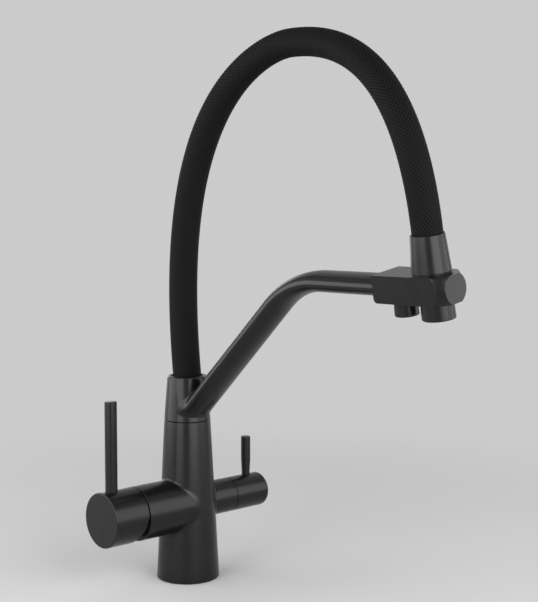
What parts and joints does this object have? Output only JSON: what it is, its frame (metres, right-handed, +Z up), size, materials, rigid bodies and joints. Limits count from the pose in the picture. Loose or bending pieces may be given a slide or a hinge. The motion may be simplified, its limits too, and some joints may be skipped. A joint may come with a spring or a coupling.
{
  "type": "three way filtered water kitchen tap",
  "caption": "Filtered water kitchen mixer tap: tapered column with a mixer lever and a quarter turn filter lever, and a swivelling arm whose outlet block is fed by an arched braided hose.",
  "frame": {"origin": "centre of the base's underside, on the worktop", "axes": "+Z up along the column, -Y forward along the spout, -X towards the mixer handle, +X towards the filter handle"},
  "size_m": [0.16, 0.293, 0.4208],
  "materials": {
    "coated_metal": "matt black powder coat",
    "braid": "black braided sleeve",
    "brass": "machined",
    "steel": "machined stainless",
    "ceramic": "lapped alumina",
    "rubber": "matt",
    "dark_plastic": "satin moulded",
    "pale_plastic": "satin moulded"
  },
  "bodies": {
    "tap_body": {"body_column": "coated_metal", "base_gasket": "rubber", "swivel_glide_ring": "pale_plastic", "swivel_retaining_screw": "steel", "cartridge_base_seal": "rubber", "cartridge_housing": "dark_plastic", "fixed_ceramic_disc": "ceramic", "cartridge_cap": "dark_plastic", "cartridge_nut": "brass", "cartridge_cover_ring": "dark_plastic", "headwork_body": "brass", "headwork_seat_seal": "rubber", "headwork_fixed_disc": "ceramic"},
    "spout": {"swivel_collar": "coated_metal", "swivel_spigot": "brass", "swivel_o_ring_lower": "rubber", "swivel_o_ring_middle": "rubber", "swivel_o_ring_upper": "rubber", "spout_arm": "coated_metal", "outlet_block": "coated_metal", "hose_sleeve": "braid", "mixed_water_tube": "pale_plastic", "filtered_water_tube": "pale_plastic", "hose_root_fitting": "steel", "hose_end_fitting": "steel", "hose_end_ferrule": "coated_metal", "mixed_outlet_nozzle": "coated_metal", "mixed_outlet_aerator": "pale_plastic", "mixed_outlet_washer": "rubber", "filtered_outlet_nozzle": "coated_metal", "filtered_outlet_insert": "pale_plastic", "filtered_outlet_washer": "rubber"},
    "mixer_rotor": {"cartridge_rotor": "pale_plastic", "stem_pivot_pin": "steel"},
    "mixer_handle": {"mixer_handle_hub": "coated_metal", "mixer_stem": "steel", "mixer_lever": "coated_metal", "mixer_grub_screw": "steel", "mixer_screw_plug": "rubber"},
    "mixer_disc": {"moving_ceramic_disc": "ceramic", "disc_carrier": "pale_plastic"},
    "filter_handle": {"filter_handle_hub": "coated_metal", "filter_lever": "coated_metal", "filter_spindle": "brass", "spindle_o_ring": "rubber", "headwork_turning_disc": "ceramic", "filter_grub_screw": "steel", "filter_screw_plug": "rubber"}
  },
  "joints": [
    {"name": "spout_swivel", "type": "hinge", "parent": "tap_body", "child": "spout", "pos_m": [0, 0, 0.1271], "axis": [0, 0, 1], "continuous": true},
    {"name": "mixer_temperature", "type": "hinge", "parent": "tap_body", "child": "mixer_rotor", "pos_m": [-0.0482, 0, 0.0593], "axis": [1, 0, 0], "range_deg": [-45, 45]},
    {"name": "mixer_flow", "type": "hinge", "parent": "mixer_rotor", "child": "mixer_handle", "pos_m": [-0.0482, 0, 0.0593], "axis": [0, -1, 0], "range_deg": [0, 20]},
    {"name": "disc_slide", "type": "slide", "parent": "mixer_rotor", "child": "mixer_disc", "axis": [0, 0, 1], "range_m": [0, 0.0028]},
    {"name": "filter_turn", "type": "hinge", "parent": "tap_body", "child": "filter_handle", "pos_m": [0.0593, 0, 0.0593], "axis": [1, 0, 0], "range_deg": [0, 90]}
  ],
  "couplings": [
    {"joint": "disc_slide", "follows": "mixer_flow", "m_per_rad": 0.0078}
  ]
}
